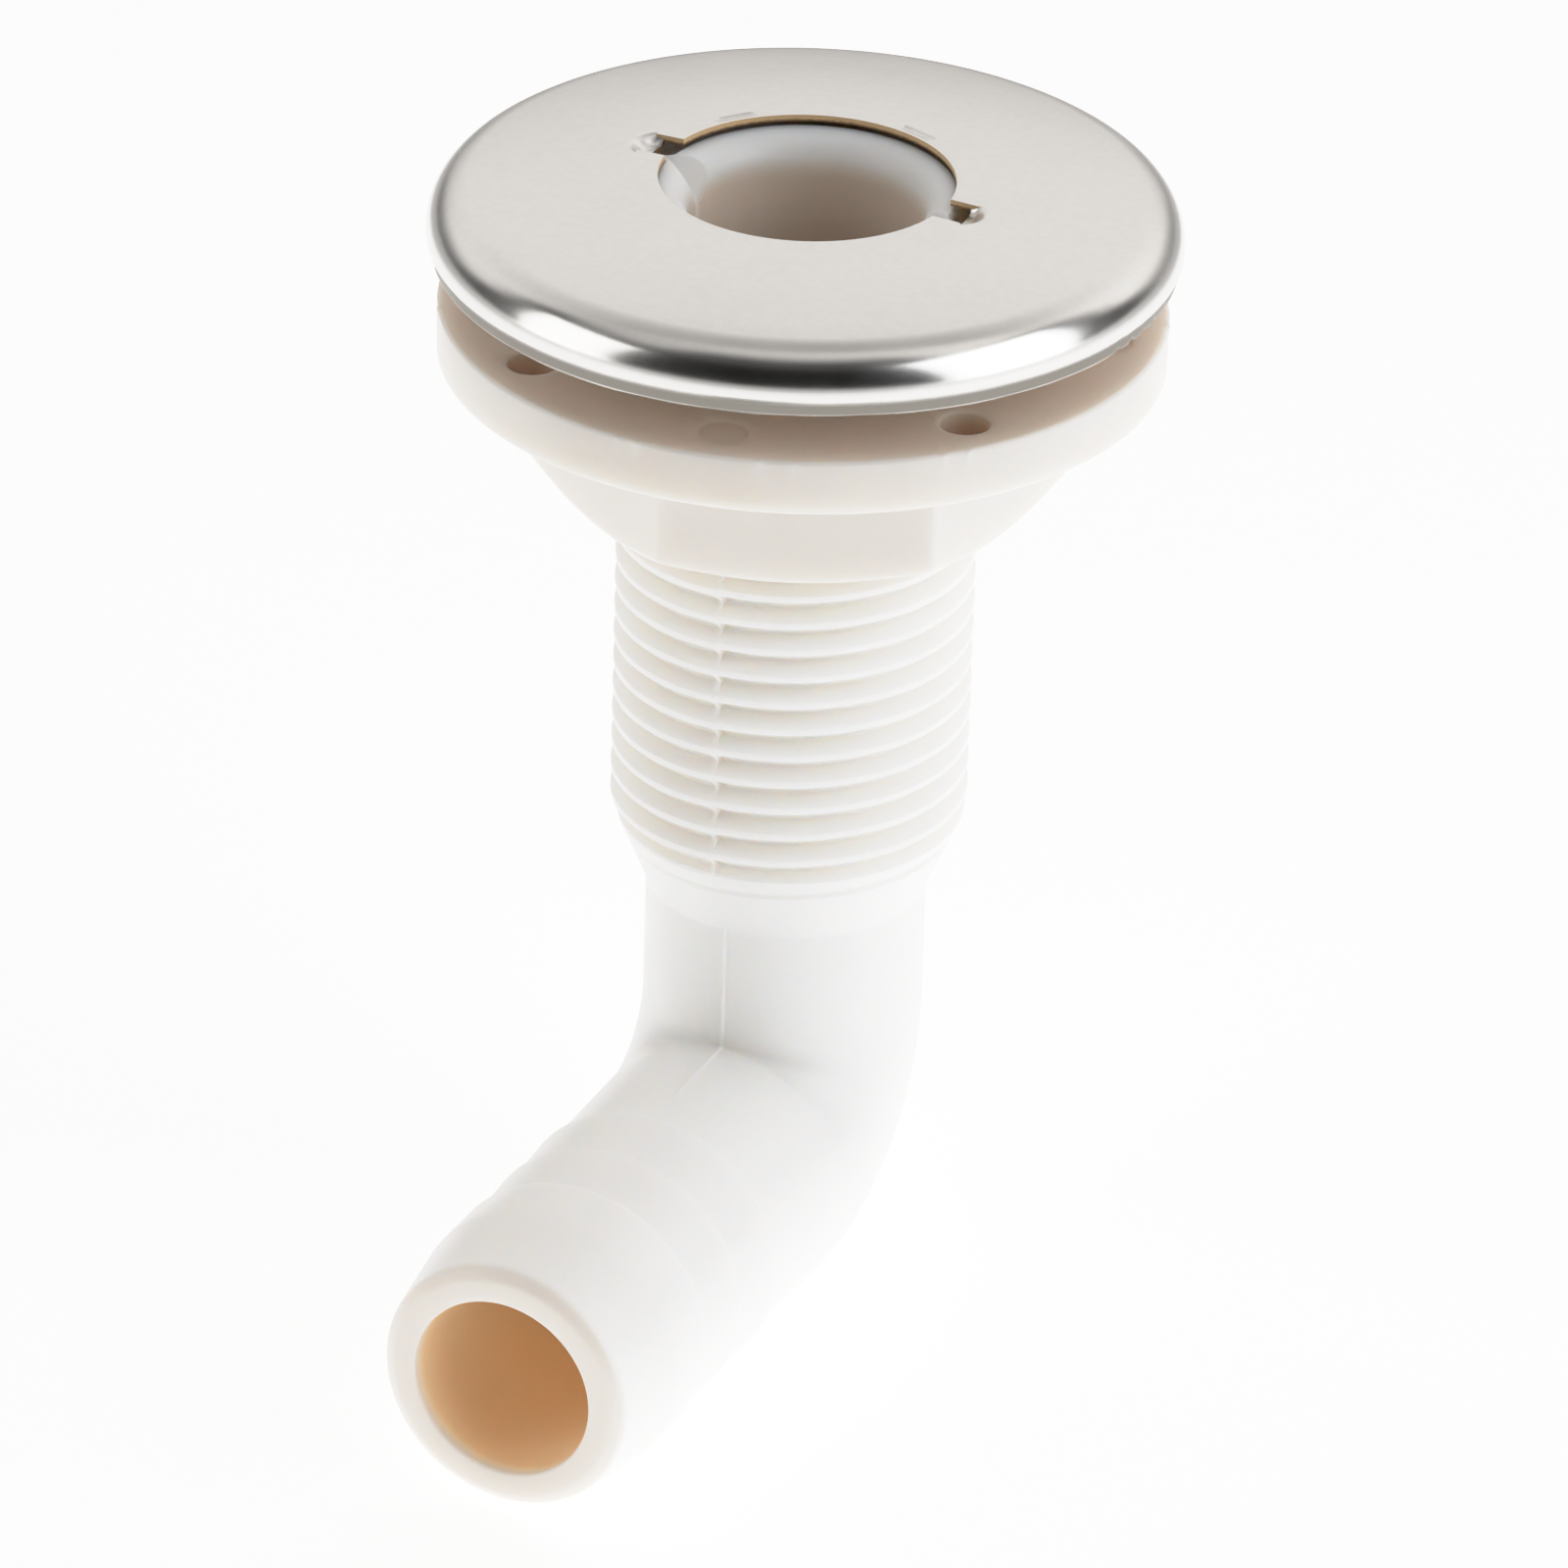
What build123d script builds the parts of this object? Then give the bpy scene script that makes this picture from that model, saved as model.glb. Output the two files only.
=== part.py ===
from build123d import *
import math
import os

os.makedirs("parts", exist_ok=True)

# Frame: +Z runs up the barrel towards the metal cap, z = 0 is the underside of the
# head flange that seats on the hull, and the hose tail points along -Y. Millimetres.

# Overall size of the head
CAP_R = 28.0
HEAD_TOP = 6.3
SHEET = 0.5
GAP = 0.05

# Metal cap
CAP_HOLE_R = 11.0
DOME_DROP = 1.0
DOME_MID_SHARE = 0.3
EDGE_R = 3.4
LIP_STEP = 0.35
LIP_TOP = 1.35
LIP_BOTTOM = 0.1
LIP_INNER_R = 25.7
NOTCH_WIDTH = 3.2
NOTCH_DEPTH = 2.2
PUNCH_DEPTH = 1.5
STAKE_ANGLES = (71.0, 142.5)
STAKE_RADIUS = 11.75
STAKE_LENGTH = 3.4
STAKE_WIDTH = 0.9
STAKE_DEPTH = 0.15

# Moulded body: flange and inlet
SEAT_R = 25.4
MOUTH_R = 11.3
MOUTH_ROUND = 2.5
MOUTH_RISE = 0.12
INLET_R = 8.8
WEDGE_HALF_WIDTH = 2.9
WEDGE_R = 11.3
WEDGE_REACH = 6.0
WEDGE_SLOPE = math.radians(54.0)

# Moulded body: barrel and thread
BARREL_R = 13.5
PITCH = 2.209
THREAD_DEPTH = 1.2
ROOT_FLAT = 0.35
THREAD_TOP = -2.6
THREAD_TURNS = 21
THREAD_FLANK = math.radians(30.0)
CUTTER_OVERRUN = 0.5
BARREL_END = -44.9
CONE_END = -51.7

# Moulded body: neck, elbow and hose tail
NECK_R = 10.65
TAIL_Z = -72.4
BEND_R = 11.0
TUBE_BORE_R = 7.1
INLET_END = -42.5
TAPER_END = -50.5
TAIL_LENGTH = 47.3
BORE_OVERRUN = 1.0
BARB_STARTS = (22.7, 28.8, 34.7)
BARB_STEP = 0.15
BARB_LOW_R = 10.4
BARB_HIGH_R = 10.8
LAND_R = 10.85
LAND_END = 39.6
TIP_SHOULDER_R = 9.84
TIP_R = 8.8
TIP_CHAMFER = 0.9
SEAM_HEIGHT = 0.085
SEAM_WIDTH = 0.35
SEAM_START = -52.1
SEAM_END = 18.0

# Nut: flange washer and hexagon
RIM_R = 27.1
RIM_TOP = -3.7
RIM_BOTTOM = -7.9
RIM_BORE_R = 13.65
RIM_ROUND = 0.45
POCKET_COUNT = 4
POCKET_CIRCLE_R = 23.0
POCKET_R = 1.85
POCKET_DEPTH = 3.0
POCKET_PHASE = -34.0
MARK_DEPTH = 0.25
MARK_PHASE = 11.0
HEX_TOP = -7.95
HEX_BOTTOM = -18.8
HEX_FLATS = 34.9
HEX_PHASE = 24.75
HEX_CHAMFER_R = 16.4
HEX_CHAMFER_TAN = 0.47
NUT_BORE_R = 12.42
NUT_MAJOR_R = 13.6
NUT_CUTTER_OVERLAP = 0.2
NUT_THREAD_DROP = 7.5
NUT_THREAD_TURNS = 6
FLANK_ALLOWANCE = 0.01

flank_slope = math.tan(THREAD_FLANK)


def thread_cutter(root_r, root_half, mouth_r, mouth_half, start_z, turns):
    """A trapezoid swept along the thread's helix; its mid line starts on +X at start_z."""
    with BuildPart() as cutter:
        with BuildLine() as path:
            Helix(pitch=PITCH, height=PITCH * turns, radius=root_r, center=(0, 0, start_z))
        with BuildSketch(Plane.XZ):
            with BuildLine():
                Polyline(
                    (root_r, start_z - root_half),
                    (mouth_r, start_z - mouth_half),
                    (mouth_r, start_z + mouth_half),
                    (root_r, start_z + root_half),
                    close=True,
                )
            make_face()
        sweep(path=path.line, is_frenet=True)
    return cutter.part


# --- metal cap: a thin pressed sheet with a domed top and a rolled lower lip
edge_centre_z = HEAD_TOP - DOME_DROP - EDGE_R
edge_centre_r = CAP_R - EDGE_R
skirt_r = CAP_R - LIP_STEP
dome_mid_r = (CAP_HOLE_R + edge_centre_r) / 2
dome_mid_z = HEAD_TOP - DOME_DROP * DOME_MID_SHARE
diagonal = math.sin(math.radians(45.0))

with BuildPart() as cap:
    with BuildSketch(Plane.XZ):
        with BuildLine():
            ThreePointArc(
                (CAP_HOLE_R, HEAD_TOP),
                (dome_mid_r, dome_mid_z),
                (edge_centre_r, HEAD_TOP - DOME_DROP),
            )
            ThreePointArc(
                (edge_centre_r, HEAD_TOP - DOME_DROP),
                (edge_centre_r + EDGE_R * diagonal, edge_centre_z + EDGE_R * diagonal),
                (CAP_R, edge_centre_z),
            )
            Polyline(
                (CAP_R, edge_centre_z),
                (CAP_R, LIP_TOP + LIP_STEP),
                (skirt_r, LIP_TOP),
                (skirt_r, LIP_BOTTOM + SHEET),
                (skirt_r - SHEET, LIP_BOTTOM),
                (LIP_INNER_R, LIP_BOTTOM),
                (LIP_INNER_R, LIP_BOTTOM + SHEET),
                (skirt_r - SHEET, LIP_BOTTOM + SHEET),
                (skirt_r - SHEET, LIP_TOP),
                (CAP_R - SHEET, LIP_TOP + LIP_STEP),
                (CAP_R - SHEET, edge_centre_z),
            )
            ThreePointArc(
                (CAP_R - SHEET, edge_centre_z),
                (
                    edge_centre_r + (EDGE_R - SHEET) * diagonal,
                    edge_centre_z + (EDGE_R - SHEET) * diagonal,
                ),
                (edge_centre_r, HEAD_TOP - DOME_DROP - SHEET),
            )
            ThreePointArc(
                (edge_centre_r, HEAD_TOP - DOME_DROP - SHEET),
                (dome_mid_r, dome_mid_z - SHEET),
                (CAP_HOLE_R, HEAD_TOP - SHEET),
            )
            Line((CAP_HOLE_R, HEAD_TOP - SHEET), (CAP_HOLE_R, HEAD_TOP))
        make_face()
    revolve(axis=Axis.Z)
    with BuildSketch(Plane.XY.offset(HEAD_TOP + SHEET)):
        Rectangle(2 * (CAP_HOLE_R + NOTCH_DEPTH), NOTCH_WIDTH)
    extrude(amount=-PUNCH_DEPTH, mode=Mode.SUBTRACT)
    for angle in STAKE_ANGLES:
        with BuildSketch(Plane.XY.offset(HEAD_TOP + SHEET)):
            with PolarLocations(STAKE_RADIUS, 1, start_angle=angle):
                SlotOverall(STAKE_LENGTH, STAKE_WIDTH, rotation=90)
        extrude(amount=-(SHEET + STAKE_DEPTH), mode=Mode.SUBTRACT)
cap.part.label = "cap"
export_step(cap.part, "parts/cap.step")

# --- moulded body: flange, barrel, neck, elbow and barbed tail in one piece
top_under_sheet = HEAD_TOP - SHEET - GAP
flange_r = CAP_R - SHEET - GAP
flange_edge_r = EDGE_R - SHEET - GAP
groove_half = ROOT_FLAT / 2
mouth_apex = top_under_sheet + MOUTH_RISE
cutter_r = BARREL_R + CUTTER_OVERRUN
cutter_half = groove_half + (cutter_r - (BARREL_R - THREAD_DEPTH)) * flank_slope

# each barb is a small step up, then the tail tapers down to the next one
barb_points = []
for step_at, high_r in zip(BARB_STARTS, (BARB_HIGH_R, BARB_HIGH_R, LAND_R)):
    barb_points.append((-step_at + BARB_STEP, TAIL_Z + BARB_LOW_R))
    barb_points.append((-step_at - BARB_STEP, TAIL_Z + high_r))

body_thread = thread_cutter(
    BARREL_R - THREAD_DEPTH,
    groove_half,
    cutter_r,
    cutter_half,
    THREAD_TOP - PITCH * THREAD_TURNS,
    THREAD_TURNS,
)

# the water way: mouth, inlet, taper, elbow and tail bore
with BuildPart() as water_way:
    with BuildSketch(Plane.XZ):
        with BuildLine():
            ThreePointArc(
                (MOUTH_R, mouth_apex),
                (MOUTH_R - MOUTH_ROUND * diagonal, mouth_apex - MOUTH_ROUND * (1 - diagonal)),
                (INLET_R, mouth_apex - MOUTH_ROUND),
            )
            Polyline(
                (INLET_R, mouth_apex - MOUTH_ROUND),
                (INLET_R, INLET_END),
                (TUBE_BORE_R, TAPER_END),
                (TUBE_BORE_R, TAIL_Z + BEND_R),
                (0, TAIL_Z + BEND_R),
                (0, HEAD_TOP),
                (MOUTH_R, HEAD_TOP),
                (MOUTH_R, mouth_apex),
            )
        make_face()
    revolve(axis=Axis.Z)
    with BuildSketch(Plane.XY.offset(TAIL_Z + BEND_R)):
        Circle(TUBE_BORE_R)
    revolve(axis=Axis((0, -BEND_R, TAIL_Z + BEND_R), (-1, 0, 0)), revolution_arc=90)
    with BuildSketch(Plane.XZ.offset(BEND_R)):
        with Locations((0, TAIL_Z)):
            Circle(TUBE_BORE_R)
    extrude(amount=TAIL_LENGTH - BEND_R + BORE_OVERRUN)

with BuildPart() as body:
    # flange, barrel, lead-in cone and neck
    with BuildSketch(Plane.XZ):
        with BuildLine():
            ThreePointArc(
                (edge_centre_r, top_under_sheet - DOME_DROP),
                (
                    edge_centre_r + flange_edge_r * diagonal,
                    edge_centre_z + flange_edge_r * diagonal,
                ),
                (flange_r, edge_centre_z),
            )
            Polyline(
                (flange_r, edge_centre_z),
                (flange_r, LIP_TOP + LIP_STEP),
                (skirt_r - SHEET - GAP, LIP_TOP),
                (skirt_r - SHEET - GAP, LIP_BOTTOM + SHEET + GAP),
                (SEAT_R, LIP_BOTTOM + SHEET + GAP),
                (SEAT_R, 0),
                (BARREL_R, 0),
                (BARREL_R, BARREL_END),
                (NECK_R, CONE_END),
                (NECK_R, TAIL_Z + BEND_R),
                (0, TAIL_Z + BEND_R),
                (0, top_under_sheet),
                (CAP_HOLE_R, top_under_sheet),
            )
            ThreePointArc(
                (CAP_HOLE_R, top_under_sheet),
                (dome_mid_r, dome_mid_z - SHEET - GAP),
                (edge_centre_r, top_under_sheet - DOME_DROP),
            )
        make_face()
    revolve(axis=Axis.Z)
    # elbow
    with BuildSketch(Plane.XY.offset(TAIL_Z + BEND_R)):
        Circle(NECK_R)
    revolve(axis=Axis((0, -BEND_R, TAIL_Z + BEND_R), (-1, 0, 0)), revolution_arc=90)
    # barbed tail, turned about its own axis
    with BuildSketch(Plane.YZ):
        with BuildLine():
            Polyline(
                (-BEND_R, TAIL_Z),
                (-BEND_R, TAIL_Z + NECK_R),
                *barb_points,
                (-LAND_END, TAIL_Z + LAND_R),
                (-TAIL_LENGTH + TIP_CHAMFER, TAIL_Z + TIP_SHOULDER_R),
                (-TAIL_LENGTH, TAIL_Z + TIP_R),
                (-TAIL_LENGTH, TAIL_Z),
                close=True,
            )
        make_face()
    revolve(axis=Axis((0, 0, TAIL_Z), (0, 1, 0)))
    # mould seam down the neck, round the bend and along the tail
    with BuildSketch(Plane.XY.offset(TAIL_Z + BEND_R)):
        Rectangle(SEAM_WIDTH, 2 * (NECK_R + SEAM_HEIGHT))
    extrude(amount=SEAM_START - TAIL_Z - BEND_R)
    with BuildSketch(Plane.XY.offset(TAIL_Z + BEND_R)):
        Rectangle(SEAM_WIDTH, 2 * (NECK_R + SEAM_HEIGHT))
    revolve(axis=Axis((0, -BEND_R, TAIL_Z + BEND_R), (-1, 0, 0)), revolution_arc=90)
    with BuildSketch(Plane.XZ.offset(BEND_R)):
        with Locations((0, TAIL_Z)):
            Rectangle(SEAM_WIDTH, 2 * (NECK_R + SEAM_HEIGHT))
    extrude(amount=SEAM_END - BEND_R)
    # water way
    add(water_way.part, mode=Mode.SUBTRACT)
    # sloping V notches in the mouth, on the line of the cap's notches
    for side in (1, -1):
        valley_plane = Plane(
            origin=(side * WEDGE_R, 0, top_under_sheet),
            x_dir=(0, 1, 0),
            z_dir=(-side * math.cos(WEDGE_SLOPE), 0, -math.sin(WEDGE_SLOPE)),
        )
        with BuildSketch(valley_plane):
            with BuildLine():
                Polyline(
                    (0, 0),
                    (WEDGE_HALF_WIDTH, side * WEDGE_HALF_WIDTH),
                    (-WEDGE_HALF_WIDTH, side * WEDGE_HALF_WIDTH),
                    close=True,
                )
            make_face()
        extrude(amount=WEDGE_REACH, both=True, mode=Mode.SUBTRACT)
    # external thread
    add(body_thread, mode=Mode.SUBTRACT)
body.part.label = "body"
export_step(body.part, "parts/body.step")

# --- flange washer: the round upper half of the nut, plain bored
with BuildPart() as flange_washer:
    with BuildSketch(Plane.XY.offset(RIM_BOTTOM)):
        Circle(RIM_R)
        Circle(RIM_BORE_R, mode=Mode.SUBTRACT)
    extrude(amount=RIM_TOP - RIM_BOTTOM)
    rim_edges = flange_washer.edges().filter_by(GeomType.CIRCLE).filter_by(
        lambda edge: abs(edge.radius - RIM_R) < GAP
    )
    fillet(rim_edges, radius=RIM_ROUND)
    with BuildSketch(Plane.XY.offset(RIM_TOP)):
        with PolarLocations(POCKET_CIRCLE_R, POCKET_COUNT, start_angle=POCKET_PHASE):
            Circle(POCKET_R)
    extrude(amount=-POCKET_DEPTH, mode=Mode.SUBTRACT)
    with BuildSketch(Plane.XY.offset(RIM_TOP)):
        with PolarLocations(POCKET_CIRCLE_R, POCKET_COUNT, start_angle=MARK_PHASE):
            Circle(POCKET_R)
    extrude(amount=-MARK_DEPTH, mode=Mode.SUBTRACT)
flange_washer.part.label = "flange_washer"
export_step(flange_washer.part, "parts/flange_washer.step")

# --- hexagon of the nut, threaded to match the barrel
cone_rise = (HEX_FLATS / math.sqrt(3) - HEX_CHAMFER_R) * HEX_CHAMFER_TAN
nut_groove_half = (PITCH - ROOT_FLAT) / 2 + FLANK_ALLOWANCE
nut_thread = thread_cutter(
    NUT_BORE_R - NUT_CUTTER_OVERLAP,
    nut_groove_half + NUT_CUTTER_OVERLAP * flank_slope,
    NUT_MAJOR_R,
    nut_groove_half - (NUT_MAJOR_R - NUT_BORE_R) * flank_slope,
    THREAD_TOP - PITCH * NUT_THREAD_DROP,
    NUT_THREAD_TURNS,
)
with BuildPart() as hex_nut:
    with BuildSketch(Plane.XY.offset(HEX_BOTTOM)):
        RegularPolygon(HEX_FLATS / 2, 6, major_radius=False, rotation=HEX_PHASE)
    extrude(amount=HEX_TOP - HEX_BOTTOM)
    with BuildSketch(Plane.XZ):
        with BuildLine():
            Polyline(
                (0, HEX_BOTTOM),
                (HEX_CHAMFER_R, HEX_BOTTOM),
                (HEX_FLATS / math.sqrt(3), HEX_BOTTOM + cone_rise),
                (HEX_FLATS / math.sqrt(3), HEX_TOP),
                (0, HEX_TOP),
                close=True,
            )
        make_face()
    revolve(axis=Axis.Z, mode=Mode.INTERSECT)
    with BuildSketch(Plane.XY.offset(HEX_BOTTOM)):
        Circle(NUT_BORE_R)
    extrude(amount=HEX_TOP - HEX_BOTTOM, mode=Mode.SUBTRACT)
    add(nut_thread, mode=Mode.SUBTRACT)
hex_nut.part.label = "hex_nut"
export_step(hex_nut.part, "parts/hex_nut.step")
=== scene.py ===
import math

import bmesh
import bpy
import numpy as np
from mathutils import Matrix, Vector


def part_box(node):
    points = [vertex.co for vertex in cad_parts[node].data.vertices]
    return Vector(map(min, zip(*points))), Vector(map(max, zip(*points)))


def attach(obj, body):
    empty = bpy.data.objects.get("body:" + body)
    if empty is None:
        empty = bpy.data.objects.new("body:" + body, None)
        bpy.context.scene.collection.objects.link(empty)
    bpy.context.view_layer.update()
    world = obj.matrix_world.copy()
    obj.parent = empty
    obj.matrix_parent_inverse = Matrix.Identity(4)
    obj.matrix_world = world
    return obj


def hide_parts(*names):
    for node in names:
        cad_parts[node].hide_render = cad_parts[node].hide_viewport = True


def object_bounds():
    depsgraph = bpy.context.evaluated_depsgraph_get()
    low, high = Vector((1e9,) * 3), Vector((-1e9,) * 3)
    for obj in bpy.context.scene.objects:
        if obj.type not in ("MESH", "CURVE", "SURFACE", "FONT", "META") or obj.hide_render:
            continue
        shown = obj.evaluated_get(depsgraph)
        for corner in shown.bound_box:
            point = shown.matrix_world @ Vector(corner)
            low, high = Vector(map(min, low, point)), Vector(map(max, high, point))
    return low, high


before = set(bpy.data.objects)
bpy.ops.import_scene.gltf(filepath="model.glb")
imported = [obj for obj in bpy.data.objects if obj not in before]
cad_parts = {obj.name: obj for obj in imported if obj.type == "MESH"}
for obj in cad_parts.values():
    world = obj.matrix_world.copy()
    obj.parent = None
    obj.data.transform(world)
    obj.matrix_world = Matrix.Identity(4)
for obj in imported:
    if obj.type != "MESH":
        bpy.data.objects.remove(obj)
cad_low, cad_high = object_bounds()

MM = 0.001

# --- sizes, in millimetres --------------------------------------------------
# Most of these are the CAD part's. The cap's lip, the mouth with its V notches and trough,
# the tail's tip, the mould seam, the burrs, the flash and some small marks, roundings and
# thread ends are this model's own.
HEAD_TOP = 6.3
SHEET = 0.5
GAP = 0.05
CAP_R = 28.0
CAP_HOLE_R = 11.0
DOME_DROP = 1.0
EDGE_R = 3.4
LIP_STEP = 0.35
LIP_TOP = 1.12
LIP_BOTTOM = 0.06
LIP_INNER_R = 25.7
NOTCH_HALF = 1.6
NOTCH_END_R = 13.2
STAKE_ANGLES = (71.0, 142.5)
STAKE_R = 11.75
STAKE_HALF = 1.25
STAKE_DEPTH = 0.15
TONGUE_START = 12.55
TONGUE_BACK = 14.35
TONGUE_DEPTH = 0.78
SEAT_R = 25.4
MOUTH_R = 11.05
MOUTH_ROUND = 2.25
SLOT_DROP = 0.30
TROUGH_DEPTH = 1.5
TROUGH_INNER_R = 11.15
TROUGH_OUTER_R = 13.8
INLET_R = 8.8
INLET_LEAD = (2.2, 2.5, 2.8, 3.1)
WEDGE_R = 11.9
WEDGE_SLOPE = math.radians(54.0)
BARREL_R = 13.5
PITCH = 2.209
THREAD_ROOT_R = 12.3
ROOT_HALF = 0.175
THREAD_TURNS = 21
THREAD_BOTTOM = -2.6 - PITCH * THREAD_TURNS
FLANK = math.tan(math.radians(30.0))
THREAD_STOP = -48.6
THREAD_START = THREAD_BOTTOM + PITCH * (THREAD_TURNS + 0.5)
BARREL_END = -44.9
CONE_END = -51.7
NECK_R = 10.65
TAIL_Z = -72.4
BEND_R = 11.0
BEND_TOP = TAIL_Z + BEND_R
TUBE_BORE_R = 7.1
INLET_END = -42.5
TAPER_END = -50.5
TAIL_LENGTH = 47.3
BARB_STARTS = (22.7, 28.8, 34.7)
BARB_LOW_R = 10.4
BARB_HIGH_R = 10.8
LAND_R = 10.85
LAND_END = 39.6
TIP_R = 9.7
SEAM_END = 18.0
SEAM_HEIGHT = 0.16
# the two halves of the mould meet this much out of step along the thread
HALVES_STEP = 0.06

# the nut
RIM_R = 27.1
RIM_TOP = -3.7
RIM_BOTTOM = -7.9
RIM_BORE_R = 13.65
POCKET_CIRCLE_R = 23.0
POCKET_R = 1.85
POCKET_PHASE = -34.0
HEX_TOP = -7.95
HEX_BOTTOM = -18.8
HEX_APOTHEM = 17.45
HEX_PHASE = 24.75
HEX_CHAMFER_R = 16.4
HEX_CHAMFER_TAN = 0.47
HEX_CORNER_R = 0.55
HEX_MOUTH_R = 13.85
NUT_BORE_R = 12.42
NUT_MAJOR_R = 13.6

# small burrs along the cap's trimmed lip: angle, width, height
LIP_BURRS = (
    (-145.0, 0.5, 0.30),
    (-9.0, 0.5, 0.20),
    (-4.8, 0.4, 0.26),
    (-0.8, 0.6, 0.16),
    (3.2, 0.4, 0.24),
    (8.0, 0.6, 0.14),
    (64.0, 0.6, 0.14),
    (166.0, 0.5, 0.20),
)
# flash left on the upper rim of the nut: angle, width, height
RIM_FLASH = (
    (-94.2, 0.35, 0.24),
    (-91.0, 0.45, 0.32),
    (-71.5, 0.30, 0.26),
    (-66.0, 0.28, 0.14),
    (-42.5, 0.34, 0.28),
    (-38.3, 0.30, 0.32),
    (-149.0, 0.36, 0.24),
    (20.0, 0.40, 0.24),
    (88.0, 0.34, 0.24),
    (131.0, 0.40, 0.22),
)

# extra columns of the meshes, in degrees from the middle of a seam, notch, stake, mark or corner
SEAM_OFFSETS = (-2.4, -1.6, -1.0, -0.5, -0.2, 0.0, 0.2, 0.45, 0.8, 1.3)
WEDGE_TURN = 4.0
WEDGE_SPREAD = 17.0
WEDGE_OFFSETS = tuple(WEDGE_TURN * f for f in (-1, -0.66, -0.33, 0, 0.33, 0.66, 1))
STAKE_OFFSETS = (-8.5, -7.7, -6.9, -5.4, -3.6, -1.8, 0.0, 1.8, 3.6, 5.4, 6.9, 7.7, 8.5)
TICK_OFFSETS = (-1.5, -1.1, -0.8, -0.5, -0.25, 0.0, 0.25, 0.5, 0.8, 1.1, 1.5)
CORNER_OFFSETS = (-3.2, -2.2, -1.4, -0.7, 0.0, 0.7, 1.4, 2.2, 3.2)
NOTCH_SPREAD = 20.0
# rows of the threads, in millimetres down one pitch
BODY_THREAD_ROWS = (
    0.0, 0.15, 0.235, 0.32, 0.58, 0.84, 0.95, 1.1045, 1.259, 1.369, 1.629, 1.889, 1.974, 2.059,
)
NUT_THREAD_ROWS = (0.0, 0.2, 0.28, 0.6, 0.92, 1.1045, 1.289, 1.609, 1.929, 2.009)

# the photographed view, which the lights are placed by too
CAMERA_TURN = math.radians(24.75)
CAMERA_RISE = math.radians(27.97)
CAMERA_ROLL = math.radians(1.74)
CAMERA_REACH = 0.840
CAMERA_LENS = 262.4
AIM_SIDE = -0.00171
AIM_DROP = 0.04459

# the pale floor's glow: full near the object, faint far away. Metres.
FLOOR_HALF = 3.0
FLOOR_GAP = 0.0002
FLOOR_GLOW = 0.66
FAR_GLOW = 0.08
GLOW_FADES = (0.26, 0.46)

# a soft shoulder keeps shape in the white plastic: scene brightness, shown brightness
WHITE = 1.35
TONES = (
    (0.10, 0.10), (0.30, 0.31), (0.50, 0.55), (0.70, 0.785), (0.85, 0.875), (1.00, 0.935), (1.15, 0.97),
)


# --- mesh helpers -----------------------------------------------------------
class Shell:
    """Patches of points, in millimetres, welded where they meet."""

    def __init__(self):
        self.points = []
        self.faces = []
        self.count = 0

    def add(self, points, faces):
        self.points.append(points.reshape(-1, 3))
        self.faces.append(faces.reshape(-1, 4) + self.count)
        self.count += points.reshape(-1, 3).shape[0]

    def rings(self, points):
        """A patch of closed rings, rows by columns by 3."""
        rows, cols = points.shape[:2]
        index = np.arange(rows * cols).reshape(rows, cols)
        right = np.roll(index, -1, axis=1)
        quads = np.stack([index[:-1], right[:-1], right[1:], index[1:]], axis=-1)
        self.add(points, quads)

    def spiral(self, points, per_turn):
        """Rows that climb one pitch a turn: the last column meets the first, per_turn rows up."""
        rows, cols = points.shape[:2]
        index = np.arange(rows * cols).reshape(rows, cols)
        inner = np.stack([index[:-1, :-1], index[:-1, 1:], index[1:, 1:], index[1:, :-1]], axis=-1)
        back = np.maximum(np.arange(rows) - per_turn, 0)
        first = index[back, 0]
        last = index[:, -1]
        wrap = np.stack([last[:-1], first[:-1], first[1:], last[1:]], axis=-1)
        self.add(points, np.concatenate([inner.reshape(-1, 4), wrap.reshape(-1, 4)]))

    def mesh(self, name, sharp=32.0):
        """The welded piece: points closer than about 0.05 micrometres are one."""
        points = np.concatenate(self.points)
        faces = np.concatenate(self.faces)
        keys = np.round(points * 2e4).astype(np.int64)
        _, first, inverse = np.unique(keys, axis=0, return_index=True, return_inverse=True)
        inverse = inverse.reshape(-1)
        welded = points[first] * MM
        polygons = []
        for quad in inverse[faces].tolist():
            corners = [c for i, c in enumerate(quad) if c != quad[i - 1]]
            if len(set(corners)) >= 3:
                polygons.append(corners)
        mesh = bpy.data.meshes.new(name)
        mesh.from_pydata(welded.tolist(), [], polygons)
        mesh.validate()
        piece = bpy.data.objects.new(name, mesh)
        bpy.context.scene.collection.objects.link(piece)
        shade(piece, sharp)
        return piece


def shade(piece, sharp):
    """Turns the faces outwards and shades smooth, except across edges past the given angle."""
    work = bmesh.new()
    work.from_mesh(piece.data)
    bmesh.ops.recalc_face_normals(work, faces=work.faces)
    limit = math.radians(sharp)
    for face in work.faces:
        face.smooth = True
    for edge in work.edges:
        edge.smooth = not (len(edge.link_faces) == 2 and edge.calc_face_angle(0.0) > limit)
    work.to_mesh(piece.data)
    work.free()
    piece.data.update()


def applied(piece):
    """Applies the piece's modifiers."""
    graph = bpy.context.evaluated_depsgraph_get()
    done = bpy.data.meshes.new_from_object(piece.evaluated_get(graph))
    piece.modifiers.clear()
    piece.data = done


def smoothstep(x):
    """0 below 0, 1 above 1, smooth between."""
    x = np.clip(x, 0.0, 1.0)
    return x * x * (3.0 - 2.0 * x)


def soft_min(a, b, width):
    """The lower of two heights, with the crease between them rounded over width."""
    h = np.clip(0.5 + 0.5 * (b - a) / width, 0.0, 1.0)
    return b + (a - b) * h - width * h * (1.0 - h)


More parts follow.
